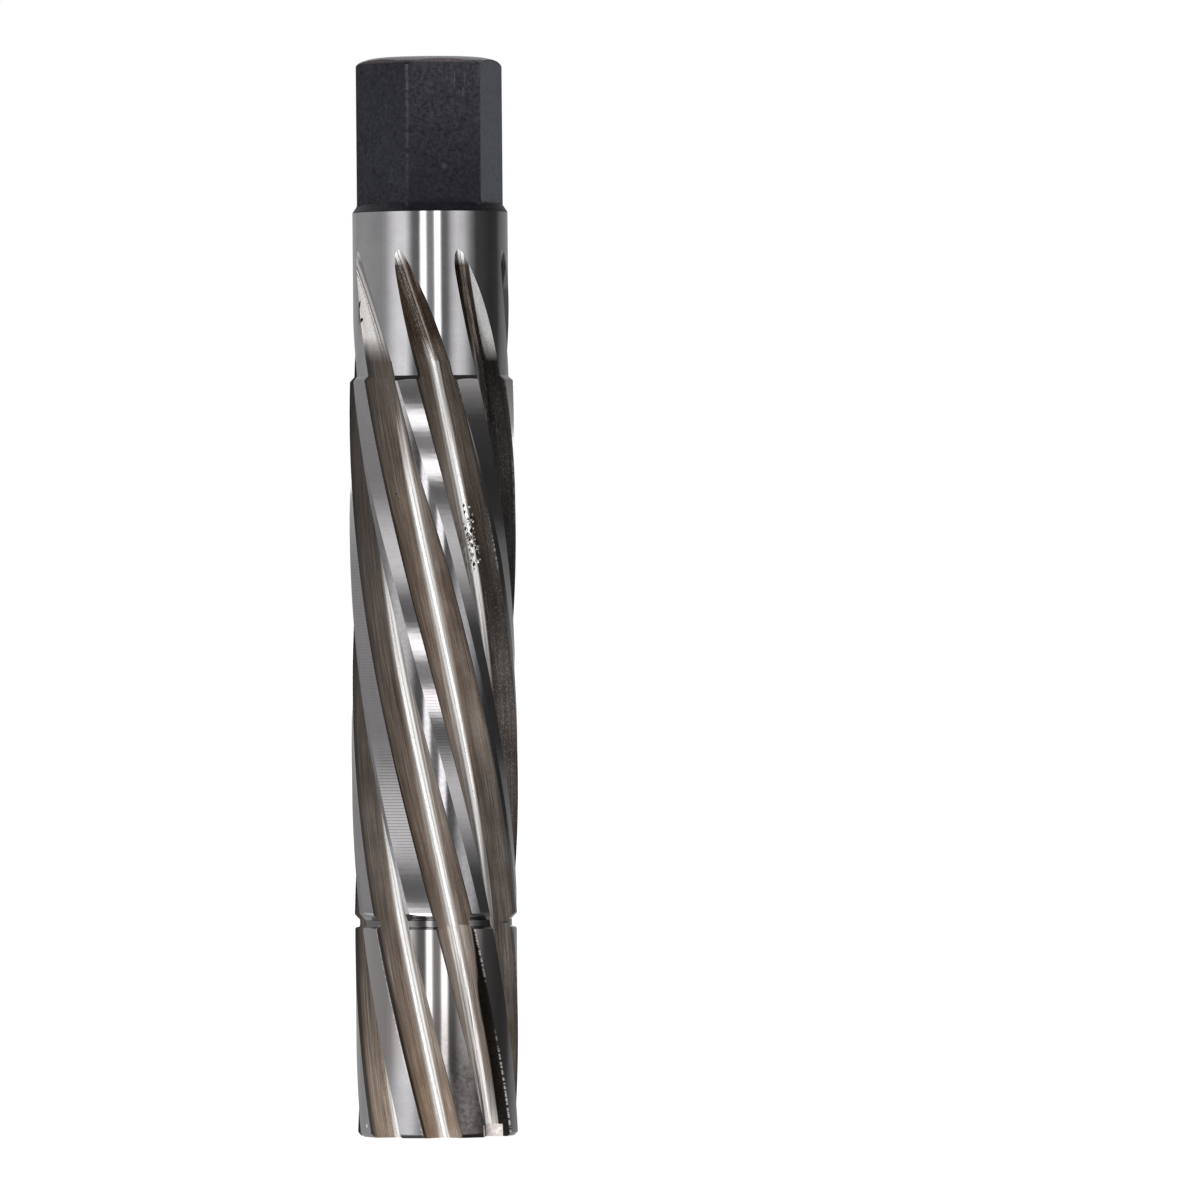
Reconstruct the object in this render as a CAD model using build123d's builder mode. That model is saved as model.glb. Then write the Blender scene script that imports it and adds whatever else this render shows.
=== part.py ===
# Bushing reamer for 24 mm bushes, ground from one bar of tool steel, in millimetres.
# It stands on its front face. The origin is the centre of that face and +Z runs to the hex drive.
import os
from math import acos, asin, cos, degrees, radians, sin, tan

from build123d import *

os.makedirs("parts", exist_ok=True)

# Diameters of the turned and ground bar
cutting_diameter = 24.0
front_pilot_diameter = 23.4
neck_diameter = 22.0
rear_pilot_diameter = 22.5

# Lengths along the axis, in order from the front face
front_chamfer = 0.65
front_pilot_length = 30.2
neck_width = 1.05
cutting_length = 76.6
rear_pilot_length = 23.6
shoulder_chamfer_length = 1.2
hex_length = 21.2

# Turned details
neck_fillet = 0.3
lead_bevel_angle = 45.0
back_bevel_angle = 45.0
shoulder_chamfer_width = 0.8

# Hex drive for a 19 mm spanner, with the turn of one of its corners
hex_across_flats = 18.8
hex_end_diameter = 17.5
hex_chamfer_angle = 30.0
hex_turn = 12.6

# Flutes on a left-hand helix, ground with a form wheel that lifts out in the rear pilot
helix_lead_length = 289.0
core_diameter = 17.0
flute_floor_radius = 1.35
face_wall_angle = 29.0
back_wall_angle = 43.5
flute_overrun_length = 0.5
wheel_radius = 120.0
wheel_tilt = 19.0

# Turn of the first flute at the front face, and the uneven pitches, repeated after half a turn
first_flute_turn = 6.3
half_turn_pitches = [46.8, 44.2, 44.0, 45.0]

# Each land keeps a round margin at its cutting edge, with a flat relief ground behind it
margin_angle = 5.7
relief_angle = 11.0

# Centre holes in both ends, for turning and grinding between centres
centre_diameter = 6.7
centre_drill_diameter = 3.15
centre_drill_depth = 8.0
centre_half_angle = 30.0
drill_tip_half_angle = 59.0

# How far a cutter stands clear of the surface it cuts
cutter_clearance = 1.0

cutting_radius = cutting_diameter / 2
front_pilot_radius = front_pilot_diameter / 2
neck_radius = neck_diameter / 2
rear_pilot_radius = rear_pilot_diameter / 2
core_radius = core_diameter / 2
outside_radius = max(cutting_radius, front_pilot_radius, rear_pilot_radius) + cutter_clearance

neck_top = front_pilot_length + neck_width
cutting_start = neck_top + (cutting_radius - neck_radius) / tan(radians(lead_bevel_angle))
cutting_end = cutting_start + cutting_length
rear_pilot_start = cutting_end + (cutting_radius - rear_pilot_radius) / tan(radians(back_bevel_angle))
rear_pilot_end = rear_pilot_start + rear_pilot_length
full_flute_end = rear_pilot_start + flute_overrun_length
shoulder_top = rear_pilot_end + shoulder_chamfer_length
overall_length = shoulder_top + hex_length
degrees_per_mm = -360 / helix_lead_length


# The plane across the bar at a height, turned with the helix, its y pointing outwards
def turned_plane(height):
    turn = radians(height * degrees_per_mm)
    return Plane(origin=(0, 0, height), x_dir=(cos(turn), sin(turn), 0), z_dir=(0, 0, 1))


# A section twisted along the helix from one height to another
def twist(section, bottom, top):
    length = top - bottom
    return Solid.extrude_linear_with_rotation(
        section, (0, 0, bottom), (0, 0, length), length * degrees_per_mm
    )


# A flute wall is a line tangent to the floor arc. This is the angle between the flute's middle
# line and the point where such a wall reaches a radius.
def wall_reach(wall_angle, radius):
    offset = flute_floor_radius - (core_radius + flute_floor_radius) * sin(radians(wall_angle))
    return wall_angle + degrees(asin(offset / radius))


# The top of a flute wall, outside the bar
def wall_top(wall_angle, side):
    radius = outside_radius / cos(radians(wall_angle / 2))
    reach = radians(wall_reach(wall_angle, radius))
    return (side * radius * sin(reach), radius * cos(reach))


# The section of one flute, with the wall below the cutting edge on the left.
# The squeeze narrows it for a plane that is tilted to the axis of the bar.
def flute_section(plane, squeeze):
    with BuildSketch(plane) as section:
        with BuildLine():
            floor = CenterArc(
                (0, core_radius + flute_floor_radius),
                flute_floor_radius,
                180 + face_wall_angle,
                180 - face_wall_angle - back_wall_angle,
            )
            face_wall = Line(floor @ 0, wall_top(face_wall_angle, -1))
            back_wall = Line(floor @ 1, wall_top(back_wall_angle, 1))
            Line(face_wall @ 1, back_wall @ 1)
        make_face()
        scale(by=(squeeze, 1, 1))
    return section.sketch.face()


# The turned blank
with BuildPart() as bar:
    with BuildSketch(Plane.XZ):
        with BuildLine():
            Polyline(
                (0, 0),
                (front_pilot_radius - front_chamfer, 0),
                (front_pilot_radius, front_chamfer),
                (front_pilot_radius, front_pilot_length),
                (neck_radius, front_pilot_length),
                (neck_radius, neck_top),
                (cutting_radius, cutting_start),
                (cutting_radius, cutting_end),
                (rear_pilot_radius, rear_pilot_start),
                (rear_pilot_radius, rear_pilot_end),
                (rear_pilot_radius - shoulder_chamfer_width, shoulder_top),
                (0, shoulder_top),
                close=True,
            )
        make_face()
    revolve(axis=Axis.Z)
    shoulder_edges = bar.edges().filter_by_position(Axis.Z, front_pilot_length, front_pilot_length)
    fillet(shoulder_edges.sort_by(SortBy.RADIUS)[0], neck_fillet)

# The hex drive, chamfered to a round end
with BuildPart() as hex_drive:
    with BuildSketch(Plane.XY.offset(rear_pilot_end)):
        RegularPolygon(hex_across_flats / 2, 6, major_radius=False, rotation=hex_turn)
    extrude(amount=overall_length - rear_pilot_end)
    with BuildSketch(Plane.XZ):
        with BuildLine():
            Polyline(
                (0, rear_pilot_end),
                (hex_across_flats, rear_pilot_end),
                (
                    hex_across_flats,
                    overall_length
                    - (hex_across_flats - hex_end_diameter / 2) * tan(radians(hex_chamfer_angle)),
                ),
                (hex_end_diameter / 2, overall_length),
                (0, overall_length),
                close=True,
            )
        make_face()
    revolve(axis=Axis.Z, mode=Mode.INTERSECT)

# One centre hole, on the front face
with BuildPart() as centre_hole:
    with BuildSketch(Plane.XZ):
        with BuildLine():
            drill_radius = centre_drill_diameter / 2
            cone_depth = (centre_diameter / 2 - drill_radius) / tan(radians(centre_half_angle))
            tip_depth = centre_drill_depth + drill_radius / tan(radians(drill_tip_half_angle))
            Polyline(
                (0, 0),
                (centre_diameter / 2, 0),
                (drill_radius, cone_depth),
                (drill_radius, centre_drill_depth),
                (0, tip_depth),
                close=True,
            )
        make_face()
    revolve(axis=Axis.Z)

# One flute cutter: a twisted bar up to the end of the full depth, then a sector of the wheel
flute_start = -cutter_clearance
flute_twist = twist(
    flute_section(turned_plane(flute_start), 1), flute_start, full_flute_end + cutter_clearance
)
lift_plane = turned_plane(full_flute_end)
tilt = radians(wheel_tilt)
wheel_axle = lift_plane.x_dir * cos(tilt) - lift_plane.z_dir * sin(tilt)
wheel_plane = Plane(origin=lift_plane.origin, x_dir=wheel_axle, z_dir=wheel_axle.cross(lift_plane.y_dir))
wheel_centre = lift_plane.origin + lift_plane.y_dir * (core_radius + wheel_radius)
wheel_sweep = degrees(acos(1 - (outside_radius - core_radius) / wheel_radius))
with BuildPart() as flute_wheel:
    revolve(
        flute_section(wheel_plane, cos(tilt)),
        axis=Axis(wheel_centre, -wheel_axle),
        revolution_arc=wheel_sweep,
    )

# One relief cutter: a strip on the chord that leaves the round margin, twisted with the flutes
relief = radians(relief_angle)
relief_start = neck_top - neck_width / 2
relief_run = 2 * cutting_radius * sin(relief) + cutter_clearance
with BuildSketch(turned_plane(relief_start)) as relief_section:
    with BuildLine():
        chord = PolarLine((0, cutting_radius), relief_run, 180 + relief_angle)
        back_end = PolarLine(chord @ 1, cutter_clearance, 90 + relief_angle)
        front_end = PolarLine((0, cutting_radius), cutter_clearance, 90 + relief_angle)
        Line(back_end @ 1, front_end @ 1)
    make_face()
relief_strip = twist(relief_section.sketch.face(), relief_start, rear_pilot_start)
cutting_edge_turn = wall_reach(face_wall_angle, cutting_radius)

with BuildPart() as bushing_reamer:
    add(bar.part)
    add(hex_drive.part)
    add(centre_hole.part, mode=Mode.SUBTRACT)
    add(centre_hole.part.mirror(Plane.XY.offset(overall_length / 2)), mode=Mode.SUBTRACT)
    flute_turn = first_flute_turn
    for pitch in half_turn_pitches + half_turn_pitches:
        add(flute_twist.rotate(Axis.Z, flute_turn), mode=Mode.SUBTRACT)
        add(flute_wheel.part.rotate(Axis.Z, flute_turn), mode=Mode.SUBTRACT)
        relief_turn = flute_turn + cutting_edge_turn + margin_angle
        add(relief_strip.rotate(Axis.Z, relief_turn), mode=Mode.SUBTRACT)
        flute_turn += pitch

bushing_reamer.part.label = "bushing_reamer"
export_step(bushing_reamer.part, "parts/bushing_reamer.step")
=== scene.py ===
# Bushing reamer on its front end, dressed for the picture.
import bpy, random
from math import acos, asin, atan, atan2, cos, degrees, pi, radians, sin, tan
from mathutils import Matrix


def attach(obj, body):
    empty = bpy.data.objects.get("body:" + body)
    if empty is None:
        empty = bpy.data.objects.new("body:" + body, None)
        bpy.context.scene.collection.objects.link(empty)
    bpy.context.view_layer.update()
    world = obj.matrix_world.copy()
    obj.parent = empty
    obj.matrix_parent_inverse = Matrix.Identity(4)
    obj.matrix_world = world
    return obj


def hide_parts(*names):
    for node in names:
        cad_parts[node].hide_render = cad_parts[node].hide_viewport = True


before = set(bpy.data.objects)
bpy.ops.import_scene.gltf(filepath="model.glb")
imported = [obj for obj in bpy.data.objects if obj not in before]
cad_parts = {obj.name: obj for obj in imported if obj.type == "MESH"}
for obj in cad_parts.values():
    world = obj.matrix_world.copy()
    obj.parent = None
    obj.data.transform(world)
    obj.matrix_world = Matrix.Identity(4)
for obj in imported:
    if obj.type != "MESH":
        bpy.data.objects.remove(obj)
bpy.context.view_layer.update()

# the pieces are modelled in millimetres and brought to metres at the end
millimetre = 0.001
micron = 0.000001


# small helpers

def clearSelection():
    if bpy.context.mode != "OBJECT":
        bpy.ops.object.mode_set(mode="OBJECT")
    bpy.ops.object.select_all(action="DESELECT")


def pick(piece):
    clearSelection()
    piece.select_set(True)
    bpy.context.view_layer.objects.active = piece


def editAll(piece, mode="FACE"):
    pick(piece)
    bpy.ops.object.mode_set(mode="EDIT")
    bpy.ops.mesh.select_mode(type=mode)
    bpy.ops.mesh.select_all(action="SELECT")


def leaveEdit():
    bpy.ops.object.mode_set(mode="OBJECT")


def settle(piece):  # place, turn and size go into the mesh
    pick(piece)
    bpy.ops.object.transform_apply(location=True, rotation=True, scale=True)


def faceOutwards(piece):
    editAll(piece)
    bpy.ops.mesh.normals_make_consistent(inside=False)
    leaveEdit()


def addModifier(piece, kind, **settings):
    pick(piece)
    modifier = piece.modifiers.new(kind, kind)
    for name, value in settings.items():
        setattr(modifier, name, value)
    bpy.ops.object.modifier_apply(modifier=modifier.name)


def cutWith(piece, cutter, operation="DIFFERENCE"):  # the cutter leaves its own finish behind
    addModifier(piece, "BOOLEAN", object=cutter, operation=operation, solver="MANIFOLD",
                material_mode="TRANSFER")
    bpy.data.objects.remove(cutter)


def copyOf(piece):
    twin = piece.copy()
    twin.data = piece.data.copy()
    bpy.context.scene.collection.objects.link(twin)
    return twin


def joinAll(pieces):
    clearSelection()
    for piece in pieces:
        piece.select_set(True)
    bpy.context.view_layer.objects.active = pieces[0]
    bpy.ops.object.join()
    return pieces[0]


def turnedSolid(name, profile, sides, material):  # a disc drawn out ring by ring, as on a lathe
    clearSelection()
    radius, height = profile[0]
    bpy.ops.mesh.primitive_circle_add(vertices=sides, radius=radius, fill_type="NGON",
                                      location=(0, 0, height))
    solid = bpy.context.object
    solid.name = name
    editAll(solid)
    for nextRadius, nextHeight in profile[1:]:
        bpy.ops.mesh.extrude_region_move(
            TRANSFORM_OT_translate={"value": (0, 0, nextHeight - height)})
        grow = nextRadius / radius
        bpy.ops.transform.resize(value=(grow, grow, 1), center_override=(0, 0, nextHeight))
        radius, height = nextRadius, nextHeight
    leaveEdit()
    settle(solid)
    faceOutwards(solid)
    solid.data.materials.append(material)
    return solid


# the bar, with its turned and ground radii, and heights from the front face up

bar = {
    "sides": 720,
    "cutting": 12.0, "frontPilot": 11.7, "neck": 11.0, "rearPilot": 11.25, "shoulder": 10.45,
    "frontPilotTop": 30.2, "neckTop": 31.25, "cuttingStart": 32.25, "cuttingEnd": 108.85,
    "rearPilotStart": 109.6, "rearPilotEnd": 133.2, "shoulderTop": 134.4, "top": 155.6,
    "frontChamfer": 0.5, "frontRound": 0.12, "roundSwell": 0.01, "edgeBreak": 0.22,
    "neckFillet": 0.3, "filletSteps": 6,
}


def barProfile():  # radius and height of each ring
    pilot, pilotTop = bar["frontPilot"], bar["frontPilotTop"]
    chamfer, softened, swell = bar["frontChamfer"], bar["frontRound"], bar["roundSwell"]
    fillet, steps = bar["neckFillet"], bar["filletSteps"]
    angles = [radians(90 * number / steps) for number in range(steps + 1)]
    corner = [(bar["neck"] + fillet * (1 - sin(angle)), pilotTop + fillet * (1 - cos(angle)))
              for angle in angles]
    return [
        (pilot - chamfer - softened, 0),
        (pilot - chamfer + swell, softened / 2),
        (pilot - softened / 2, chamfer - swell),
        (pilot, chamfer + softened),
        (pilot, pilotTop - bar["edgeBreak"]),
        (pilot - bar["edgeBreak"], pilotTop),
    ] + corner + [
        (bar["neck"], bar["neckTop"]),
        (bar["cutting"], bar["cuttingStart"]),
        (bar["cutting"], bar["cuttingEnd"]),
        (bar["rearPilot"], bar["rearPilotStart"]),
        (bar["rearPilot"], bar["rearPilotEnd"]),
        (bar["shoulder"], bar["shoulderTop"]),
    ]


# the hex drive on top

hexDrive = {
    "acrossFlats": 18.8, "turn": 12.6, "cornerRound": 0.22, "cornerSteps": 3,
    "sunk": 3.0,   # into the bar, so that the two join
    # the turned dome at its end: radius, and drop below the top
    "dome": [(11.7, 3.0), (10.9, 1.45), (10.5, 0.98), (10.0, 0.66), (9.4, 0.42), (8.6, 0.2),
             (7.8, 0.06), (7.1, 0.0)],
    "domeSides": 360, "clear": 1,
}


def buildHexDrive(material):
    bottom, top = bar["shoulderTop"] - hexDrive["sunk"], bar["top"]
    cornerRadius = hexDrive["acrossFlats"] / 2 / cos(radians(30))
    clearSelection()
    bpy.ops.mesh.primitive_cylinder_add(vertices=6, radius=cornerRadius, depth=top - bottom,
                                        location=(0, 0, (top + bottom) / 2),
                                        rotation=(0, 0, radians(hexDrive["turn"] + 30)))
    drive = bpy.context.object
    drive.name = "hexDrive"
    settle(drive)
    # the six upright edges are rounded
    editAll(drive, "EDGE")
    bpy.ops.mesh.select_all(action="DESELECT")
    leaveEdit()
    for edge in drive.data.edges:
        a, b = [drive.data.vertices[i].co for i in edge.vertices]
        edge.select = abs(a.z - b.z) > 1
    bpy.ops.object.mode_set(mode="EDIT")
    bpy.ops.mesh.bevel(offset=hexDrive["cornerRound"], segments=hexDrive["cornerSteps"])
    leaveEdit()
    drive.data.materials.append(material)
    # the lathe cut at the end rounds the corners over
    dome = [(radius, top - drop) for radius, drop in hexDrive["dome"]]
    start = (dome[0][0], bottom - hexDrive["clear"])
    envelope = turnedSolid("hexEnvelope", [start] + dome, hexDrive["domeSides"], material)
    cutWith(drive, envelope, "INTERSECT")
    return drive


# centre holes in both ends

centreHole = {"mouth": 3.35, "drill": 1.575, "depth": 8.0, "coneAngle": 30, "tipAngle": 59,
              "tip": 0.02, "clear": 0.5, "sides": 96}


def buildCentreHole(name, endHeight, inwards, material):
    size = centreHole
    coneDepth = (size["mouth"] - size["drill"]) / tan(radians(size["coneAngle"]))
    tipDepth = size["depth"] + size["drill"] / tan(radians(size["tipAngle"]))
    wide = size["mouth"] + size["clear"] * tan(radians(size["coneAngle"]))
    rings = [(wide, -size["clear"]), (size["drill"], coneDepth), (size["drill"], size["depth"]),
             (size["tip"], tipDepth)]
    profile = [(radius, endHeight + inwards * depth) for radius, depth in rings]
    return turnedSolid(name, profile, size["sides"], material)


# flutes on a left-hand helix, cut by a form wheel that lifts out in the rear pilot

flute = {
    "lead": 289.0, "core": 8.5, "floor": 1.35,
    "faceWall": 29.0, "backWall": 43.5,     # from the middle line
    "fullEnd": 110.7, "wheel": 120.0, "tilt": 19.0,
    "firstTurn": 6.3, "pitches": [46.8, 44.2, 44.0, 45.0],   # repeated after half a turn
    "outside": 13.0, "beyond": 0.6, "overrun": 1,   # how far the cutter stands clear
    "floorSides": 120, "wallSteps": 4, "wheelSteps": 24, "step": 0.8,
}
turnPerMm = -2 * pi / flute["lead"]


def wallReach(wall, radius):  # where a wall tangent to the floor meets a radius, from the middle
    offset = flute["floor"] - (flute["core"] + flute["floor"]) * sin(radians(wall))
    return radians(wall) + asin(offset / radius)


def floorPoint(angle):  # on the floor arc of the section, by the angle below its centre
    floor = flute["floor"]
    return -floor * cos(angle), flute["core"] + floor - floor * sin(angle)


def cuttingEdge(backBy=0.0):  # the edge in the section, or a point that many degrees behind it
    turn = wallReach(flute["faceWall"], bar["cutting"]) + radians(backBy)
    return -bar["cutting"] * sin(turn), bar["cutting"] * cos(turn)


def fluteTurns():
    turns = [flute["firstTurn"]]
    for pitch in (flute["pitches"] * 2)[:-1]:
        turns.append(turns[-1] + pitch)
    return [radians(turn) for turn in turns]


def wallPoints(side, x, y):  # up the wall from the end of the floor, until it is out of the steel
    wall = flute["faceWall"] if side < 0 else flute["backWall"]
    topRadius = flute["outside"] + flute["beyond"]
    reach = wallReach(wall, topRadius)
    topX, topY = side * topRadius * sin(reach), topRadius * cos(reach)
    steps = flute["wallSteps"]
    return [(x + (topX - x) * number / steps, y + (topY - y) * number / steps)
            for number in range(1, steps + 1)]


def drawFluteSection(material):
    clearSelection()
    middle = flute["core"] + flute["floor"]
    bpy.ops.mesh.primitive_circle_add(vertices=flute["floorSides"], radius=flute["floor"],
                                      fill_type="NOTHING", location=(0, middle, 0))
    section = bpy.context.object
    section.name = "fluteCut"
    settle(section)
    # only the arc between the two walls stays
    editAll(section, "VERT")
    bpy.ops.mesh.select_all(action="DESELECT")
    leaveEdit()
    for vertex in section.data.vertices:
        angle = degrees(atan2(vertex.co.x, middle - vertex.co.y))
        vertex.select = not flute["faceWall"] - 90 <= angle <= 90 - flute["backWall"]
    bpy.ops.object.mode_set(mode="EDIT")
    bpy.ops.mesh.delete(type="VERT")
    # each end of the arc is drawn on along its wall
    for side in (-1, 1):
        bpy.ops.mesh.select_all(action="DESELECT")
        leaveEdit()
        arc = [vertex for vertex in section.data.vertices if vertex.co.y < middle]
        end = max(arc, key=lambda vertex: side * vertex.co.x)
        end.select = True
        x, y = end.co.x, end.co.y
        bpy.ops.object.mode_set(mode="EDIT")
        for nextX, nextY in wallPoints(side, x, y):
            bpy.ops.mesh.extrude_region_move(
                TRANSFORM_OT_translate={"value": (nextX - x, nextY - y, 0)})
            x, y = nextX, nextY
    bpy.ops.mesh.select_all(action="SELECT")
    bpy.ops.mesh.edge_face_add()
    leaveEdit()
    section.data.materials.append(material)
    return section


def drawOut(section, bottom, top, rise):  # straight up in even steps, then twisted on the helix
    section.location.z = bottom
    settle(section)
    steps = int((top - bottom) / rise)
    editAll(section)
    bpy.ops.mesh.extrude_repeat(steps=steps, offset=(0, 0, (top - bottom) / steps), scale_offset=1)
    leaveEdit()
    faceOutwards(section)
    addModifier(section, "SIMPLE_DEFORM", deform_method="TWIST", deform_axis="Z",
                angle=(top - bottom) * turnPerMm)


def buildWheelCut(section):  # the sector that the wheel sweeps as it leaves the steel
    tilt = radians(flute["tilt"])
    section.scale.x = cos(tilt)
    settle(section)
    section.rotation_euler.y = tilt
    settle(section)
    axleHeight = flute["core"] + flute["wheel"]
    sweep = acos(1 - (flute["outside"] - flute["core"]) / flute["wheel"])
    editAll(section)
    bpy.ops.mesh.spin(steps=flute["wheelSteps"], angle=sweep, center=(0, axleHeight, 0),
                      axis=(cos(tilt), 0, -sin(tilt)))
    leaveEdit()
    section.location.z = flute["fullEnd"]
    section.rotation_euler.z = flute["fullEnd"] * turnPerMm
    settle(section)
    faceOutwards(section)


def allRound(cutter):  # one copy for each flute, joined into one cutter
    copies = []
    for turn in fluteTurns():
        twin = copyOf(cutter)
        twin.rotation_euler.z = turn
        settle(twin)
        copies.append(twin)
    bpy.data.objects.remove(cutter)
    return joinAll(copies)


# the flat relief behind each round margin

relief = {
    "start": 30.725, "step": 0.8, "width": 5.58, "deep": 1.0,
    # margin and angle of each land in degrees, and the height where its strip turns off the helix
    "lands": [(5.2, 11.0, 84), (6.1, 11.0, 86), (5.4, 11.0, 82), (5.7, 11.0, 84),
              (2.7, 12.0, 80), (6.7, 10.8, 78.6), (7.1, 10.4, 87.4), (5.0, 11.0, 84)],
    "turnOff": -0.25,   # degrees a millimetre above that height
}


def buildStrip(material, size, angle, corner, turnOff, turnOffFrom):
    clearSelection()
    bpy.ops.mesh.primitive_plane_add(size=1, location=(-0.5, 0.5, 0))
    strip = bpy.context.object
    strip.name = "strip"
    settle(strip)
    strip.scale = (size[0], size[1], 1)
    strip.rotation_euler.z = radians(angle)
    strip.location = (corner[0], corner[1], 0)
    settle(strip)
    strip.data.materials.append(material)
    bottom, top = relief["start"], bar["rearPilotStart"]
    drawOut(strip, bottom, top, relief["step"])
    addModifier(strip, "SIMPLE_DEFORM", deform_method="TWIST", deform_axis="Z",
                limits=((turnOffFrom - bottom) / (top - bottom), 1),
                angle=radians(turnOff * (top - turnOffFrom)))
    return strip


def buildReliefCut(material):
    edge = wallReach(flute["faceWall"], bar["cutting"])
    strips = []
    for turn, (margin, angle, turnOffFrom) in zip(fluteTurns(), relief["lands"]):
        strip = buildStrip(material, (relief["width"], relief["deep"]), angle,
                           (0, bar["cutting"]), relief["turnOff"], turnOffFrom)
        lean = relief["turnOff"] * turnOffFrom   # the second twist starts from height 0
        strip.rotation_euler.z = turn + edge + radians(margin - lean)
        settle(strip)
        strips.append(strip)
    return joinAll(strips)


# one face wall has been ground back again below the middle, which narrows its land

secondGrind = {"flute": 6, "backBy": 2.9, "turnOff": -0.21, "turnOffFrom": 82.0,
               "width": 0.9, "deep": 5.0}


def buildSecondGrind(material):
    footX, footY = floorPoint(radians(flute["faceWall"]))
    edgeX, edgeY = cuttingEdge(secondGrind["backBy"])
    lean = degrees(atan2(footX - edgeX, edgeY - footY))
    width = secondGrind["width"]
    corner = (footX + width * cos(radians(lean)), footY + width * sin(radians(lean)))
    strip = buildStrip(material, (width, secondGrind["deep"]), lean, corner,
                       secondGrind["turnOff"], secondGrind["turnOffFrom"])
    turned = radians(secondGrind["turnOff"] * secondGrind["turnOffFrom"])
    strip.rotation_euler.z = fluteTurns()[secondGrind["flute"]] - turned
    settle(strip)
    return strip


# wear cut into the steel: single nicks by radius, turn from the front, height, and size in, round
# and along, then a torn patch on one flute and a bright step at the mouth of another

nicks = {
    "dirt": [
        (11.0, -66.6, 118.6, 1.1, 0.20, 2.0), (10.9, -64.0, 117.6, 1.0, 0.14, 0.5),
        (10.9, -63.2, 120.4, 1.0, 0.12, 0.35), (10.9, -61.5, 119.2, 0.9, 0.10, 0.25),
        (12.0, -27.2, 87.1, 0.25, 0.22, 0.3), (10.22, -27.6, 91.9, 0.2, 0.22, 0.2),
        (10.35, -27.0, 91.2, 0.14, 0.14, 0.14), (10.4, -30.0, 92.6, 0.13, 0.13, 0.16),
    ],
    "fresh": [
        (11.25, 4.6, 114.8, 0.2, 0.3, 0.25), (11.7, -61.0, 1.7, 0.14, 0.16, 0.4),
        (11.25, -59.5, 118.9, 0.12, 0.16, 0.4), (11.25, -58.2, 117.9, 0.1, 0.14, 0.3),
    ],
}
tornPatch = {
    "flute": 7, "from": 81.3, "to": 91.4, "mostAt": 85.3,
    "upWall": (-0.32, 0.13), "bend": 3.2,   # below 0 the chips follow the floor arc
    "size": (0.13, 0.34), "shape": (0.8, 0.7, 1.3),
    "chips": (44, 7), "pits": (20, 3),   # how many, and the seed
}
mouthStep = {"x": (6.6, 8.95), "y": (-14.0, -4.55), "z": (-1.0, 1.8), "turn": -5.2}


def chip(where, size, material):
    clearSelection()
    bpy.ops.mesh.primitive_ico_sphere_add(subdivisions=1, radius=1, location=(0, 0, 0))
    made = bpy.context.object
    made.scale = size
    settle(made)
    made.rotation_euler.z = atan2(where[1], where[0])
    made.location = where
    settle(made)
    made.data.materials.append(material)
    return made


def gather(chips):  # overlapping chips become one cutter
    cutter = chips[0]
    for other in chips[1:]:
        cutWith(cutter, other, "UNION")
    return cutter


def nickCut(places, material):
    chips = []
    for radius, turn, height, deep, wide, tall in places:
        angle = radians(turn - 90)
        where = (radius * cos(angle), radius * sin(angle), height)
        chips.append(chip(where, (deep, wide, tall), material))
    return gather(chips)


def tornCut(material, count, seed):  # scattered low on the face wall and round into the floor
    torn = tornPatch
    turn = fluteTurns()[torn["flute"]]
    wall = radians(flute["faceWall"])
    (footX, footY), (edgeX, edgeY) = floorPoint(wall), cuttingEdge()
    dice = random.Random(seed)
    chips = []
    for number in range(count):
        up = dice.uniform(*torn["upWall"])
        height = dice.triangular(torn["from"], torn["to"], torn["mostAt"])
        x, y = footX + (edgeX - footX) * up, footY + (edgeY - footY) * up
        if up < 0:
            x, y = floorPoint(wall - up * torn["bend"])
        angle = turn + height * turnPerMm
        size = dice.uniform(*torn["size"])
        where = (x * cos(angle) - y * sin(angle), x * sin(angle) + y * cos(angle), height)
        chips.append(chip(where, [size * share for share in torn["shape"]], material))
    return gather(chips)


def mouthCut(material):
    low, high = zip(mouthStep["x"], mouthStep["y"], mouthStep["z"])
    clearSelection()
    bpy.ops.mesh.primitive_cube_add(size=1, location=[(a + b) / 2 for a, b in zip(low, high)])
    box = bpy.context.object
    box.scale = [b - a for a, b in zip(low, high)]
    box.rotation_euler.z = radians(mouthStep["turn"])
    settle(box)
    box.data.materials.append(material)
    return box


# finishes, all on the object's own coordinates and in millimetres. In their dictionaries a pair
# called From holds where a change starts and where it is complete, and a number before a colour
# is the share of it that is mixed in. What is given by flute starts from the one at the back.

def startMaterial(name, **shaderInputs):
    material = bpy.data.materials.new(name)
    material.use_nodes = True
    shader = material.node_tree.nodes["Principled BSDF"]
    for socket, value in shaderInputs.items():
        shader.inputs[socket.replace("_", " ")].default_value = value
    return material, shader


def isSocket(value):
    return isinstance(value, bpy.types.NodeSocket)


# one node, with numbers set and sockets linked, in the tree that those sockets are in
def add(kind, inputs, tree=None, **settings):
    if tree is None:
        tree = [value for value in inputs.values() if isSocket(value)][0].id_data
    made = tree.nodes.new(kind)
    for name, value in settings.items():
        setattr(made, name, value)
    for socket, value in inputs.items():
        if isSocket(value):
            tree.links.new(value, made.inputs[socket])
        else:
            made.inputs[socket].default_value = value
    return made


def calc(operation, *values):
    return add("ShaderNodeMath", dict(enumerate(values)), operation=operation).outputs[0]


def times(first, second):
    return calc("MULTIPLY", first, second)


def scaled(value, factor, offset):
    return calc("MULTIPLY_ADD", value, factor, offset)


def minus(first, second):
    return calc("SUBTRACT", first, second)


def opposite(value):  # 1 where the value is 0, and 0 where it is 1
    return minus(1.0, value)


def larger(first, second):
    return calc("MAXIMUM", first, second)


def slope(value, start, end):  # from 0 at the start to 1 at the end
    return add("ShaderNodeMapRange", {"Value": value, "From Min": start,
                                      "From Max": end}).outputs[0]


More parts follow.
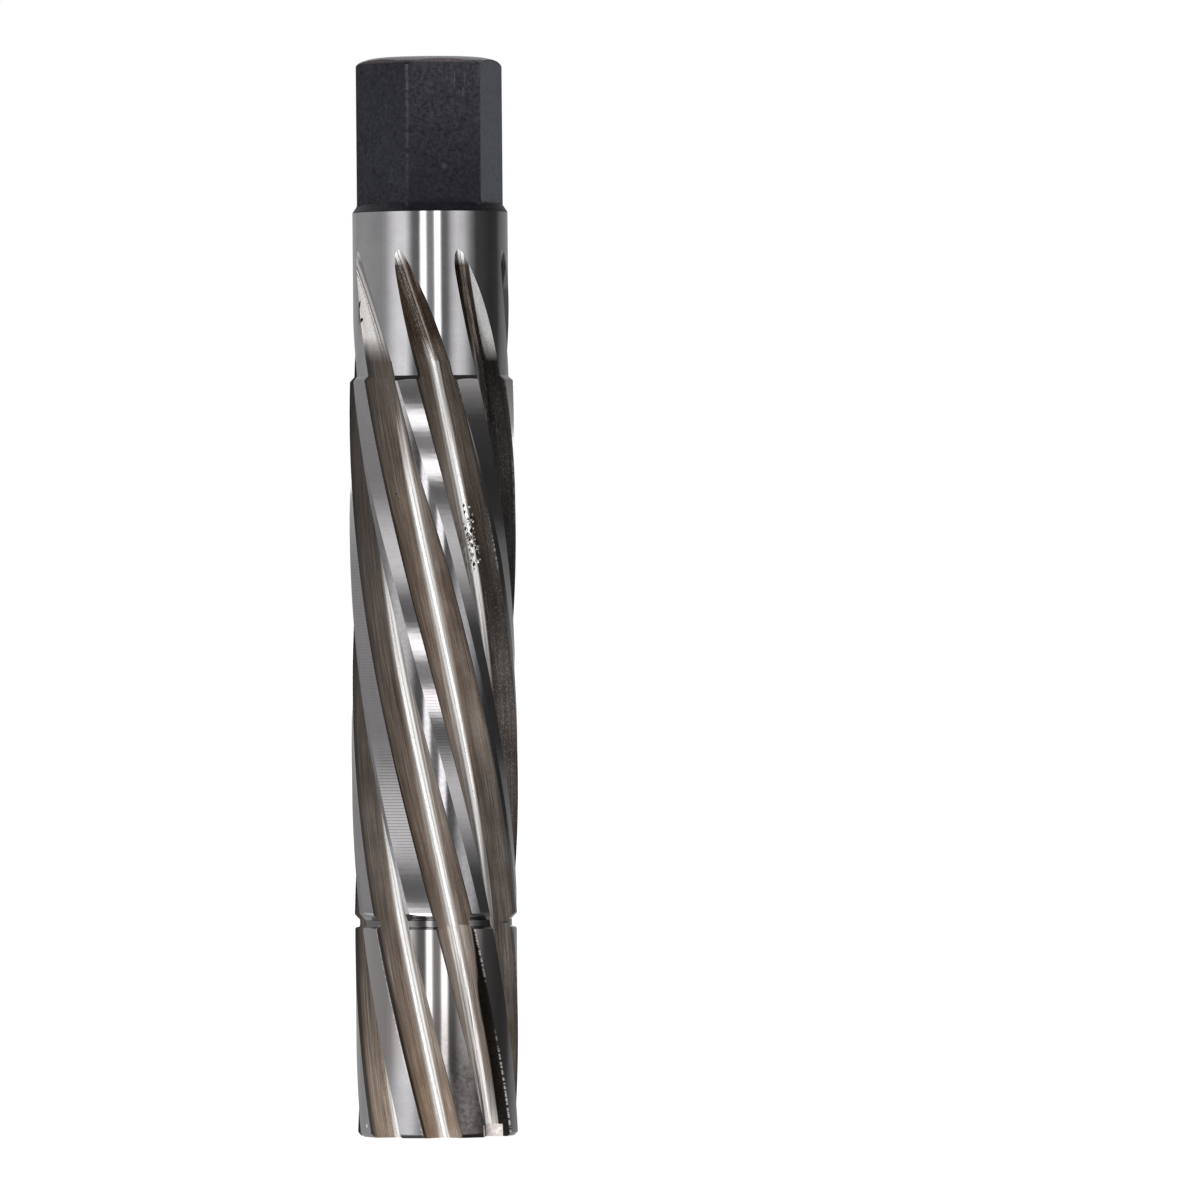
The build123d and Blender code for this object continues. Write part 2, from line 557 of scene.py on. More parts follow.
def between(value, low, lowEnd, highEnd, high):  # 1 between two limits, soft at both
    return times(slope(value, low, lowEnd), slope(value, high, highEnd))


def blend(factor, first, second):  # of two colours
    colours = [value if isSocket(value) else tuple(value) + (1,) for value in (first, second)]
    return add("ShaderNodeMix", {0: factor, 6: colours[0], 7: colours[1]},
               data_type="RGBA").outputs[2]


def tinted(colour, mask, share, tint):  # some of another colour, where the mask is 1
    return blend(times(mask, share), colour, tint)


def fillRamp(ramp, stops):
    stripes = ramp.color_ramp.elements
    for index, (place, value) in enumerate(stops):
        stripe = stripes[0] if index == 0 else stripes.new(place)
        stripe.position = place
        stripe.color = (value, value, value, 1)
    stripes.remove(stripes[-1])


def pickFrom(index, values):  # one value for each whole number
    middle = calc("DIVIDE", calc("ADD", index, 0.5), len(values))
    ramp = add("ShaderNodeValToRGB", {0: middle})
    ramp.color_ramp.interpolation = "CONSTANT"
    fillRamp(ramp, [(place / len(values), value) for place, value in enumerate(values)])
    return ramp.outputs[0]


def near(place, centre, inner, outer):  # 1 around a point, fading out
    away = add("ShaderNodeVectorMath", {0: place, 1: centre}, operation="DISTANCE")
    return slope(away.outputs["Value"], outer, inner)


def noise(place, scale, detail=2.0, roughness=0.5, low=0.35, high=0.65):
    made = add("ShaderNodeTexNoise", {"Vector": place, "Scale": scale, "Detail": detail,
                                      "Roughness": roughness})
    return slope(made.outputs[0], low, high)


def stretched(place, x, y, z, shift=0.0):
    return add("ShaderNodeMapping", {"Vector": place, "Scale": (x, y, z),
                                     "Location": (shift, 0, 0)}).outputs[0]


def toolPlace(shader):
    coordinates = add("ShaderNodeTexCoord", {}, shader.id_data).outputs["Object"]
    return add("ShaderNodeVectorMath", {0: coordinates, "Scale": 1 / millimetre},
               operation="SCALE").outputs[0]


def alongHelix(place):  # the height, and the place with the helix turned out of it
    height = add("ShaderNodeSeparateXYZ", {0: place}).outputs["Z"]
    straight = add("ShaderNodeVectorRotate", {
        "Vector": place, "Angle": times(height, -turnPerMm)}, rotation_type="Z_AXIS")
    return height, straight.outputs[0]


def fromAxis(place):
    flattened = stretched(place, 1, 1, 0)
    return add("ShaderNodeVectorMath", {0: flattened}, operation="LENGTH").outputs["Value"]


def turnOf(place):  # degrees round the bar
    parts = add("ShaderNodeSeparateXYZ", {0: place})
    return times(calc("ARCTAN2", parts.outputs["Y"], parts.outputs["X"]), 180 / pi)


def aroundAxis(place):  # the direction round the bar, for finishes that run along it
    parts = add("ShaderNodeSeparateXYZ", {0: place})
    backwards = times(parts.outputs["Y"], -1.0)
    return add("ShaderNodeCombineXYZ", {0: backwards, 1: parts.outputs["X"]}).outputs[0]


def bump(height, microns):
    return add("ShaderNodeBump", {"Height": height, "Distance": microns * micron,
                                  "Strength": 1.0}).outputs[0]


def plug(shader, **sockets):  # what varies over the surface goes into the shader
    for socket, value in sockets.items():
        shader.id_data.links.new(value, shader.inputs[socket.replace("_", " ")])


def acrossFlute(straight):  # degrees from the middle of the nearest flute, and its number
    sector = 360 / 8
    turn = minus(turnOf(straight), 90 - sector / 2 + flute["firstTurn"])
    turn = calc("FLOORED_MODULO", turn, 360.0)
    number = calc("FLOOR", calc("DIVIDE", turn, sector))
    ahead = [sum(flute["pitches"][:count]) - sector * count for count in range(4)]
    across = minus(calc("FLOORED_MODULO", turn, sector), sector / 2)
    return minus(across, pickFrom(number, ahead * 2)), number


# worn edges with a painted highlight: bright broken lines along the edges and heels of the flutes

edgeWearAndGlints = {
    "frontFrom": (30.8, 30.5), "upperFrom": (81, 85), "endFrom": (109.5, 108.5),   # heights
    "edgeFrom": (0.95, 0.4), "heelFrom": (0.6, 0.25),   # degrees away
    "frontEdges": [0.1, 0.1, 0.1, 0.1, 0.0, 1.0, 0.1, 0.1],
    "frontHeels": [0.1, 0.1, 0.1, 0.1, 0.5, 0.0, 0.1, 0.0],
    "upperEdges": [0.1, 0.1, 0.1, 0.1, 0.0, 0.1, 0.1, 0.9],
    "colour": (0.97, 0.96, 0.94),
}
edgeAt = degrees(wallReach(flute["faceWall"], bar["cutting"]))
heelAt = degrees(wallReach(flute["backWall"], bar["cutting"]))


def wornEdgesAndGlints(height, straight, across, number):
    wear = edgeWearAndGlints
    fromEdge = calc("ABSOLUTE", minus(across, edgeAt))
    fromHeel = calc("ABSOLUTE", calc("ADD", across, heelAt))
    front = slope(height, *wear["frontFrom"])
    upper = slope(height, *wear["upperFrom"])
    edges = larger(times(front, pickFrom(number, wear["frontEdges"])),
                   times(upper, pickFrom(number, wear["upperEdges"])))
    heels = times(front, pickFrom(number, wear["frontHeels"]))
    lines = larger(times(slope(fromEdge, *wear["edgeFrom"]), edges),
                   times(slope(fromHeel, *wear["heelFrom"]), heels))
    chips = noise(stretched(straight, 0.15, 0.15, 1), 2.6, 2, 0.6, 0.45, 0.53)
    runs = noise(stretched(straight, 0.15, 0.15, 0.08, 5), 1.0, 1, 0.5, 0.42, 0.55)
    marks = times(lines, times(chips, runs))
    return times(marks, slope(height, *wear["endFrom"]))


# ground steel on the pilots and margins

groundFinish = {
    "plain": ((0.50, 0.49, 0.505), (0.555, 0.545, 0.56)), "grain": (0.3, (0.38, 0.365, 0.375)),
    "margin": ((0.32, 0.31, 0.32), (0.39, 0.38, 0.39)), "marginAt": (31.3, 32.0, 108.9, 109.3),
    "front": (0.47, 0.445, 0.44), "frontAt": (8, 12, 30.15, 30.25),
    "neck": (0.24, 0.23, 0.23), "neckAt": (30.15, 30.25, 31.3, 31.4),
    "blotch": (0.12, 0.105, 0.10), "darkPatchAt": (6.2, -10.0, 0.8), "darkPatchSize": (2.6, 6.4),
    "darkPatchSqueeze": 0.34,
    "footAt": (-1, -0.5, 7, 11),   # duller here
    "roughness": 0.06, "rings": 0.02, "foot": 0.16, "wearAndPaintedLight": 0.4, "bump": 0.4,
}


def makeGroundSteel():
    finish = groundFinish
    material, shader = startMaterial("groundSteel", Metallic=1.0)
    place = toolPlace(shader)
    height, straight = alongHelix(place)
    across, number = acrossFlute(straight)
    rings = noise(stretched(place, 0.25, 0.25, 9), 1.0, 3)
    grain = noise(place, 5.0, 3, 0.6)
    mottle = noise(place, 1.6, 3, 0.65)
    cloud = noise(place, 0.35, 4)
    foot = between(height, *finish["footAt"])
    colour = blend(cloud, *finish["plain"])
    colour = tinted(colour, grain, *finish["grain"])
    margin = blend(mottle, *finish["margin"])
    colour = blend(between(height, *finish["marginAt"]), colour, margin)
    colour = blend(between(height, *finish["frontAt"]), colour, finish["front"])
    colour = blend(between(height, *finish["neckAt"]), colour, finish["neck"])
    # one land is darker and dull towards its foot
    squeezed = stretched(straight, 1, 1, finish["darkPatchSqueeze"])
    darkPatch = near(squeezed, finish["darkPatchAt"], *finish["darkPatchSize"])
    darkPatch = times(darkPatch, scaled(mottle, 0.25, 0.75))
    colour = blend(darkPatch, colour, finish["blotch"])
    # bright edge lines, worn and with a painted highlight
    wearAndPaintedLight = wornEdgesAndGlints(height, straight, across, number)
    colour = blend(wearAndPaintedLight, colour, edgeWearAndGlints["colour"])
    rough = scaled(rings, finish["rings"], finish["roughness"])
    rough = scaled(foot, finish["foot"], rough)
    rough = scaled(wearAndPaintedLight, finish["wearAndPaintedLight"], rough)
    normal = bump(scaled(foot, grain, rings), finish["bump"])
    plug(shader, Base_Color=colour, Roughness=rough, Normal=normal)
    return material


# brown oxide on the flute walls, with painted shade by flute, side and height

oxide = {
    "heelSide": ((0.80, 0.655, 0.55), (0.33, 0.25, 0.20)), "heelSideFrom": (9.2, 11.4),
    "heelStain": (0.35, (0.20, 0.145, 0.115)),
    "faceSide": ((0.76, 0.65, 0.57), (0.50, 0.41, 0.35)),
    "broad": (0.42, (0.20, 0.15, 0.12)), "fine": (0.68, (0.12, 0.092, 0.074)),
    "grain": (0.35, (0.15, 0.12, 0.10)), "crack": (0.75, (0.04, 0.032, 0.028)),
    "streak": (0.76, 0.70, 0.64), "streakShare": 0.5, "streakMost": 0.4,
    # painted shade for each flute
    "paintedShades": [0.26, 0.6, 0.8, 0.8, 0.9, 0.85, 1.1, 0.95], "even": 0.9, "evenFrom": (60, 30),
    # how much paler it gets, and the shade that this is added to
    "paler": (0.72, 0.6), "palerFrom": (115, 20), "foot": 0.5, "footFrom": (16, 4),
    # and painted shade that lifts towards the middle of the tool, sideways in shares of the radius
    "left": (0.66, 0.34), "leftFrom": (-0.88, -0.4), "leftFoot": 0.72, "leftFootFrom": (34, 14),
    "right": (0.78, 0.22), "rightFrom": (0.84, 0.44),
    "yellow": (0.98, 0.96, 0.91), "yellowFrom": (20, 8),
}


# painted shade on the flute walls, by flute, height and side
def paintedWallShade(spot):
    height = spot["height"]
    paintedShade = pickFrom(spot["number"], oxide["paintedShades"])
    even = times(slope(height, *oxide["evenFrom"]), oxide["even"])
    paler = scaled(slope(height, *oxide["palerFrom"]), *oxide["paler"])
    paler = scaled(slope(height, *oxide["footFrom"]), oxide["foot"], paler)
    paintedShade = times(larger(paintedShade, even), paler)
    # painted shade, darkest towards both sides of the tool
    parts = add("ShaderNodeSeparateXYZ", {0: spot["place"]})
    sideways = calc("DIVIDE", parts.outputs["X"], spot["radius"])
    left = scaled(slope(sideways, *oxide["leftFrom"]), *oxide["left"])
    leftFoot = times(slope(height, *oxide["leftFootFrom"]), oxide["leftFoot"])
    right = scaled(slope(sideways, *oxide["rightFrom"]), *oxide["right"])
    return times(paintedShade, times(larger(left, leftFoot), right))


def oxideColour(spot, pattern):
    back = blend(slope(spot["reach"], *oxide["heelSideFrom"]), *oxide["heelSide"])
    back = tinted(back, pattern["blotch"], *oxide["heelStain"])
    front = blend(pattern["blotch"], *oxide["faceSide"])
    brown = blend(spot["face"], back, front)
    for name in ("broad", "fine", "grain"):
        brown = tinted(brown, pattern[name], *oxide[name])
    paintedShade = paintedWallShade(spot)
    brown = add("ShaderNodeVectorMath", {0: brown, "Scale": paintedShade}, operation="SCALE").outputs[0]
    yellow = blend(slope(spot["height"], *oxide["yellowFrom"]), (1, 1, 1), oxide["yellow"])
    brown = add("ShaderNodeVectorMath", {0: brown, 1: yellow}, operation="MULTIPLY").outputs[0]
    pale = calc("MINIMUM", times(paintedShade, oxide["streakShare"]), oxide["streakMost"])
    brown = blend(times(pattern["streak"], pale), brown, oxide["streak"])
    return tinted(brown, pattern["crack"], *oxide["crack"])


# the ends of the flutes, where the wheel's own path leaves the helix, with a painted highlight on
# their bright sides and painted shade inside

runOut = {
    "path": (0.0275, -1.05),   # how it drifts, in degrees, with the height above the full depth
    "outFrom": (111.6, 115.2), "smoother": -0.15,
    # painted highlight by flute, on the cutting edge's side and all over, then high up and at the
    # tip
    "paintedHighlightSides": [1, 0.4, 0.4, 0.4, 0.4, 0.4, 0.3, 0], "paintedHighlightSideFrom": (8.6, 9.1),
    "paintedHighlightEnds": [0, 0, 0.3, 0, 0, 0, 0.36, 0], "paintedHighlight": ((1.0, 0.99, 0.98), (0.9, 0.885, 0.87)),
    "paintedHighlightHighFrom": (121.4, 122.6), "paintedHighlightTipFrom": (125.4, 127.2),
    # painted shade inside the ends, and brown towards their face side
    "dark": ((0.115, 0.09, 0.076), (0.055, 0.044, 0.038)),
    "faceSide": ((0.52, 0.45, 0.40), (0.30, 0.25, 0.215)), "faceSideFrom": (1.5, 5.0),
}


def finishRunOut(spot, pattern, look):
    height, number = spot["height"], spot["number"]
    past = minus(height, flute["fullEnd"])
    shift = times(past, scaled(past, *runOut["path"]))
    across = minus(spot["across"], shift)
    out = slope(height, *runOut["outFrom"])
    inHelix = opposite(out)
    paintedHighlightSide = pickFrom(number, runOut["paintedHighlightSides"])
    high = slope(height, *runOut["paintedHighlightHighFrom"])
    side = times(slope(across, *runOut["paintedHighlightSideFrom"]), larger(paintedHighlightSide, high))
    side = larger(side, slope(height, *runOut["paintedHighlightTipFrom"]))
    # painted highlight on the bright side and at the tip of each end
    paintedHighlight = times(out, larger(side, pickFrom(number, runOut["paintedHighlightEnds"])))
    faceSide = times(slope(across, *runOut["faceSideFrom"]), opposite(paintedHighlightSide))
    # painted shade inside the ends
    inside = blend(faceSide, blend(pattern["broad"], *runOut["dark"]),
                   blend(pattern["fine"], *runOut["faceSide"]))
    look["colour"] = blend(out, look["colour"], inside)
    look["colour"] = blend(paintedHighlight, look["colour"], blend(pattern["grain"], *runOut["paintedHighlight"]))
    look["paintedHeelShade"] = times(look["paintedHeelShade"], inHelix)
    look["dull"] = times(look["dull"], inHelix)
    look["rough"] = scaled(out, runOut["smoother"], look["rough"])


# one flute was ground over on the front pilot: light and streaky inside, and black outside, which
# is painted shade

groundOverWithPaintedShade = {
    "flutes": [0, 0, 0, 0, 0, 1, 0, 0], "heightFrom": (30.7, 30.5), "acrossFrom": (-5.0, -3.5),
    "streaks": ((1.0, 0.97, 0.94), (0.62, 0.58, 0.55)), "cracks": (0.12, 0.10, 0.09), "dull": -0.6,
    "outside": ((0.014, 0.012, 0.011), (0.04, 0.034, 0.03)), "outsideFrom": (0.0, 0.3),
    "outsideRadius": (1.15, 10.0), "outsideRadiusFrom": (20, 30.5),   # it grows with the height
}


def finishGroundOverWithPaintedShade(spot, pattern, look):
    height = spot["height"]
    over = pickFrom(spot["number"], groundOverWithPaintedShade["flutes"])
    over = times(over, slope(height, *groundOverWithPaintedShade["heightFrom"]))
    over = times(over, slope(spot["across"], *groundOverWithPaintedShade["acrossFrom"]))
    streaks = blend(pattern["fine"], *groundOverWithPaintedShade["streaks"])
    streaks = blend(pattern["crack"], streaks, groundOverWithPaintedShade["cracks"])
    look["colour"] = blend(over, look["colour"], streaks)
    look["dull"] = blend(over, look["dull"], (groundOverWithPaintedShade["dull"],) * 3)
    # painted shade: black outside the ground-over part
    start = scaled(slope(height, *groundOverWithPaintedShade["outsideRadiusFrom"]), *groundOverWithPaintedShade["outsideRadius"])
    beyond = times(over, slope(minus(spot["uneven"], start), *groundOverWithPaintedShade["outsideFrom"]))
    outside = blend(pattern["grain"], *groundOverWithPaintedShade["outside"])
    look["colour"] = blend(beyond, look["colour"], outside)


# the flutes: bright along the floor, brown on the walls, dark in painted shade along the heels, and
# dark along the edges

fluteFinish = {
    "bright": ((0.93, 0.915, 0.895), (0.85, 0.835, 0.82)), "wallFrom": (8.75, 9.25),
    # the bright line wavers, and narrows towards the top of each flute
    "uneven": 0.3, "narrow": (0.45, 0.2), "narrowFrom": (92, 108),
    "dullTops": [0.4, 0, 0, 0, 0, 0, 1, 0],
    # painted shade: a dark line along each heel
    "paintedHeelShade": (0.92, (0.02, 0.017, 0.016)), "heelFrom": (11.3, 11.65),
    "edge": (0.75, (0.04, 0.034, 0.031)), "edgeFrom": (11.55, 11.9), "edgeEndFrom": (114.0, 110.5),
    "sparkles": [0.05, 0.02, 0, 0, 0, 0, 0, 0.15], "sparkle": (0.75, 0.73, 0.71),
    "rimFrom": (11.72, 11.84), "faceFrom": (-1.0, 1.0),
    "frontPilotFrom": (30.7, 30.6), "rearPilotFrom": (108.9, 109.6),
    "roughness": 0.24, "fine": 0.04, "wall": 0.08, "dull": (0.25, -0.55), "bump": 1.3,
}


def fluteSpot(shader):  # where a point is on the flutes
    spot = {"place": toolPlace(shader)}
    spot["height"], spot["straight"] = alongHelix(spot["place"])
    spot["across"], spot["number"] = acrossFlute(spot["straight"])
    spot["radius"] = fromAxis(spot["place"])
    # the pilots lie lower than the lands
    front = slope(spot["height"], *fluteFinish["frontPilotFrom"])
    rear = slope(spot["height"], *fluteFinish["rearPilotFrom"])
    lower = scaled(front, bar["cutting"] - bar["frontPilot"],
                   times(rear, bar["cutting"] - bar["rearPilot"]))
    spot["reach"] = calc("ADD", spot["radius"], lower)   # 12 at the edge of every land
    spot["face"] = slope(spot["across"], *fluteFinish["faceFrom"])   # 1 towards the cutting edge
    return spot


def flutePatterns(spot):
    place, straight = spot["place"], spot["straight"]
    lines = {   # drawn out along the helix: stretch, shift, then the noise
        "fine": (0.03, 0, 4.5, 3, 0.65), "broad": (0.02, 7, 1.8, 2),
        "streak": (0.012, 3, 6.0, 2, 0.6, 0.58, 0.70), "crack": (0.015, 9, 5.0, 2, 0.6, 0.60, 0.68),
    }
    pattern = {"blotch": noise(place, 0.18, 3, 0.55, 0.4, 0.62),
               "grain": noise(place, 3.5, 3, 0.7)}
    for name, (stretch, shift, *settings) in lines.items():
        pattern[name] = noise(stretched(straight, 1, 1, stretch, shift), *settings)
    return pattern


def makeFluteSteel(name, finishOwnPart):
    finish = fluteFinish
    material, shader = startMaterial(name, Anisotropic=0.4)
    spot = fluteSpot(shader)
    pattern = flutePatterns(spot)
    height, number, reach, face = spot["height"], spot["number"], spot["reach"], spot["face"]
    fine, broad, grain = pattern["fine"], pattern["broad"], pattern["grain"]
    narrow = scaled(pickFrom(number, finish["dullTops"]), *finish["narrow"])
    spot["uneven"] = scaled(slope(height, *finish["narrowFrom"]), narrow,
                            scaled(broad, finish["uneven"], spot["radius"]))
    wall = slope(spot["uneven"], *finish["wallFrom"])
    # painted shade along the heels
    paintedHeelShade = times(slope(reach, *finish["heelFrom"]), opposite(face))
    look = {
        "colour": blend(wall, blend(fine, *finish["bright"]), oxideColour(spot, pattern)),
        "paintedHeelShade": times(paintedHeelShade, finish["paintedHeelShade"][0]),
        "rough": scaled(wall, finish["wall"], scaled(fine, finish["fine"], finish["roughness"])),
        "dull": times(wall, scaled(face, *finish["dull"])),
    }
    finishOwnPart(spot, pattern, look)
    colour = blend(look["paintedHeelShade"], look["colour"], finish["paintedHeelShade"][1])
    edge = times(face, slope(reach, *finish["edgeFrom"]))
    edge = times(times(edge, finish["edge"][0]), slope(height, *finish["edgeEndFrom"]))
    colour = blend(edge, colour, finish["edge"][1])
    # sparkle where the walls are rough
    sparkle = times(noise(spot["place"], 4.0, 2, 0.6, 0.56, 0.66),
                    times(pickFrom(number, finish["sparkles"]), wall))
    colour = blend(sparkle, colour, finish["sparkle"])
    dull = times(look["dull"], opposite(sparkle))
    # bright edge lines, worn and with a painted highlight
    wearAndPaintedLight = wornEdgesAndGlints(height, spot["straight"], spot["across"], number)
    rim = times(slope(reach, *finish["rimFrom"]), wearAndPaintedLight)
    colour = blend(rim, colour, edgeWearAndGlints["colour"])
    marks = times(scaled(broad, 2.0, fine), wall)
    marks = scaled(times(grain, wall), 1.5, marks)
    plug(shader, Base_Color=colour, Metallic=calc("ADD", dull, 1.0),
         Roughness=look["rough"], Tangent=aroundAxis(spot["place"]),
         Normal=bump(marks, finish["bump"]))
    return material


# the flat behind each margin, ground across, with chatter marks in places and a painted highlight
# along its lower lip

reliefFinish = {
    "plain": ((0.46, 0.445, 0.455), (0.43, 0.415, 0.425)), "cloud": (0.3, (0.37, 0.35, 0.36)),
    "chatter": (0.6, (0.20, 0.19, 0.195)), "tick": 0.43, "squeeze": 0.35,
    # share, middle, inner and outer size of each patch of chatter
    "patches": [(1.0, (5.87, -9.77, 16.8), 2.2, 3.1), (0.6, (11.0, -2.95, 20.6), 1.5, 2.6),
                (0.3, (5.87, -9.77, 26), 3.2, 5)],
    "paintedLipHighlight": (0.9, 0.9, 0.9), "paintedLipHighlightFrom": (32.45, 32.2),
    "roughness": 0.11, "grain": 0.02, "bump": 0.3,
}


def makeReliefSteel():
    finish = reliefFinish
    material, shader = startMaterial("reliefSteel", Metallic=1.0)
    place = toolPlace(shader)
    height, straight = alongHelix(place)
    grain = noise(stretched(place, 0.4, 0.4, 6), 1.0, 4, 0.65)
    ticks = calc("SINE", times(height, 2 * pi / finish["tick"]))
    squeezed = stretched(straight, 1, 1, finish["squeeze"])
    patches = 0.0
    for share, middle, inner, outer in finish["patches"]:
        patch = times(near(squeezed, middle, inner, outer), share)
        patches = larger(patches, patch)
    chatter = times(scaled(ticks, 0.5, 0.5), patches)
    cloud = noise(place, 1.2, 3, 0.6)
    colour = blend(grain, *finish["plain"])
    colour = tinted(colour, cloud, *finish["cloud"])
    colour = tinted(colour, chatter, *finish["chatter"])
    # painted highlight along the lower lip of the flat
    colour = blend(slope(height, *finish["paintedLipHighlightFrom"]), colour, finish["paintedLipHighlight"])
    rough = scaled(grain, finish["grain"], finish["roughness"])
    plug(shader, Base_Color=colour, Roughness=rough, Normal=bump(grain, finish["bump"]))
    return material


# oxide black on the hex, paler on some flats, partly worn and partly painted light, and paler along
# the corners

blackFinish = {
    "plain": ((0.016, 0.016, 0.021), (0.026, 0.026, 0.034)), "speck": (0.4, (0.085, 0.085, 0.09)),
    # the pale second flat, right of the front one, is painted light
    "flats": [0.0, 0.95, 0.3, 0.1, 0.35, 0.04],   # how pale each is, from the one in front
    "wearAndPaintedLight": (0.165, 0.185, 0.21), "wearAndPaintedLightFrom": (134.5, 134.7),
    "corner": (0.6, (0.16, 0.16, 0.175)), "cornerFrom": (10.69, 10.76), "cornerUpFrom": (132, 158),
    "rim": (0.85, (0.14, 0.112, 0.118)), "rimFrom": (154.55, 154.85),
    "spot": (0.6, (0.12, 0.125, 0.13)), "spotAt": (2.1, -9.4, 139.7), "spotSize": (0.1, 0.7),
    "scratch": (0.13, 0.13, 0.135), "scratchAt": (4.4, -9.4, 151.8), "scratchSize": (0.5, 3.4),
    "scratchLean": 24,
    "tint": (0.88, 0.9, 1.0), "sheen": (0.76, 0.10), "paintedShadeFade": (1.2, -0.65),
    "roughness": 0.4, "specks": 0.1, "bump": 6,
}


def makeBlackSteel():
    finish = blackFinish
    material, shader = startMaterial("blackSteel", Metallic=0.25,
                                     Specular_Tint=finish["tint"] + (1,))
    place = toolPlace(shader)
    height = add("ShaderNodeSeparateXYZ", {0: place}).outputs["Z"]
    turn = calc("ADD", turnOf(place), 120 - hexDrive["turn"])
    turn = calc("FLOORED_MODULO", turn, 360.0)
    flat = calc("FLOOR", calc("DIVIDE", turn, 60.0))
    cloud = noise(place, 0.35, 5, 0.65)
    mottle = noise(place, 1.7, 4, 0.75, 0.33, 0.67)
    speck = noise(place, 5.0, 3, 0.7, 0.55, 0.75)
    colour = blend(cloud, *finish["plain"])
    colour = tinted(colour, speck, *finish["speck"])
    # paler flats, partly worn and partly painted light
    wearAndPaintedLight = times(pickFrom(flat, finish["flats"]), scaled(mottle, 0.3, 0.7))
    wearAndPaintedLight = times(wearAndPaintedLight, slope(height, *finish["wearAndPaintedLightFrom"]))
    colour = blend(wearAndPaintedLight, colour, finish["wearAndPaintedLight"])
    breaks = noise(stretched(place, 0.3, 0.3, 1), 2.5, 3, 0.6, 0.42, 0.6)
    corner = times(slope(fromAxis(place), *finish["cornerFrom"]), breaks)
    corner = times(corner, slope(height, *finish["cornerUpFrom"]))
    colour = tinted(colour, corner, *finish["corner"])
    colour = tinted(colour, slope(height, *finish["rimFrom"]), *finish["rim"])
    spot = near(place, finish["spotAt"], *finish["spotSize"])
    colour = tinted(colour, spot, *finish["spot"])
    lines = add("ShaderNodeMapping", {
        "Vector": place, "Rotation": (0, radians(finish["scratchLean"]), 0),
        "Scale": (1, 1, 0.09)}).outputs[0]
    scratch = times(noise(lines, 3.2, 2, 0.5, 0.60, 0.68),
                    near(place, finish["scratchAt"], *finish["scratchSize"]))
    colour = blend(scratch, colour, finish["scratch"])
    # the mottling is in the sheen of the oxide, and so is a painted shade that fades the front flat
    # darker towards its bottom
    paintedShadeFade = scaled(slope(height, bar["shoulderTop"], bar["top"]), *finish["paintedShadeFade"])
    paintedShadeFade = scaled(pickFrom(flat, [1, 0, 0, 0, 0, 0]), paintedShadeFade, 1.0)
    sheen = times(scaled(mottle, *finish["sheen"]), paintedShadeFade)
    rough = scaled(speck, finish["specks"], finish["roughness"])
    normal = bump(calc("ADD", speck, mottle), finish["bump"])
    plug(shader, Base_Color=colour, Roughness=rough, Specular_IOR_Level=sheen, Normal=normal)
    return material


def makeBareSteel(name, dark, light, scale, noiseSettings=(2, 0.6, 0.4, 0.6), **shaderInputs):
    material, shader = startMaterial(name, **shaderInputs)
    spots = noise(toolPlace(shader), scale, *noiseSettings)
    plug(shader, Base_Color=blend(spots, dark, light))
    return material


groundSteel = makeGroundSteel()
fluteSteel = makeFluteSteel("fluteSteel", finishGroundOverWithPaintedShade)
leavingSteel = makeFluteSteel("leavingSteel", finishRunOut)
reliefSteel = makeReliefSteel()
blackSteel = makeBlackSteel()
# drilled holes, torn spots, pits, fresh nicks and the step at the mouth
holeSteel = makeBareSteel("holeSteel", (0.22, 0.21, 0.20), (0.34, 0.33, 0.32), 1.5, (3,),
                          Metallic=1.0, Roughness=0.35)
tornSteel = makeBareSteel("tornSteel", (0.07, 0.06, 0.05), (1.0, 0.98, 0.96), 3.5,
                          Metallic=0.9, Roughness=0.22)
dirtSteel = makeBareSteel("dirtSteel", (0.012, 0.010, 0.009), (0.05, 0.04, 0.035), 4.0,
                          Roughness=0.6)
freshSteel = makeBareSteel("freshSteel", (0.86, 0.80, 0.79), (1.0, 0.97, 0.95), 1.2,
                           Metallic=1.0, Roughness=0.22)
mouthSteel = makeBareSteel("mouthSteel", (0.62, 0.55, 0.54), (0.88, 0.82, 0.80), 1.2,
                           Metallic=1.0, Roughness=0.35)

print("turning the bar")
reamer = turnedSolid("reamer", barProfile(), bar["sides"], groundSteel)
reamer.data.materials.append(blackSteel)
for face in reamer.data.polygons:  # the oxide runs over the shoulder
    if face.center.z > bar["rearPilotEnd"]:
        face.material_index = 1
print("cutting the hex drive")
cutWith(reamer, buildHexDrive(blackSteel), "UNION")
cutWith(reamer, buildCentreHole("frontCentre", 0, 1, holeSteel))
cutWith(reamer, buildCentreHole("driveCentre", bar["top"], -1, holeSteel))
print("grinding the flutes")
fluteCut = drawFluteSection(fluteSteel)
wheelCut = copyOf(fluteCut)
drawOut(fluteCut, -flute["overrun"], flute["fullEnd"] + flute["overrun"], flute["step"])
buildWheelCut(wheelCut)
cutWith(reamer, allRound(fluteCut))
wheelCut.data.materials[0] = leavingSteel
cutWith(reamer, allRound(wheelCut))
print("grinding the relief")
cutWith(reamer, buildReliefCut(reliefSteel))
cutWith(reamer, buildSecondGrind(fluteSteel))
print("adding the wear")
cutWith(reamer, nickCut(nicks["dirt"], dirtSteel))
cutWith(reamer, nickCut(nicks["fresh"], freshSteel))
cutWith(reamer, tornCut(tornSteel, *tornPatch["chips"]))
cutWith(reamer, tornCut(dirtSteel, *tornPatch["pits"]))
cutWith(reamer, mouthCut(mouthSteel))

reamer.scale = (millimetre,) * 3
settle(reamer)
pick(reamer)
bpy.ops.object.shade_smooth_by_angle(angle=radians(8))
reamer.name = "bushingReamer"
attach(reamer, "root")
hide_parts("bushing_reamer")

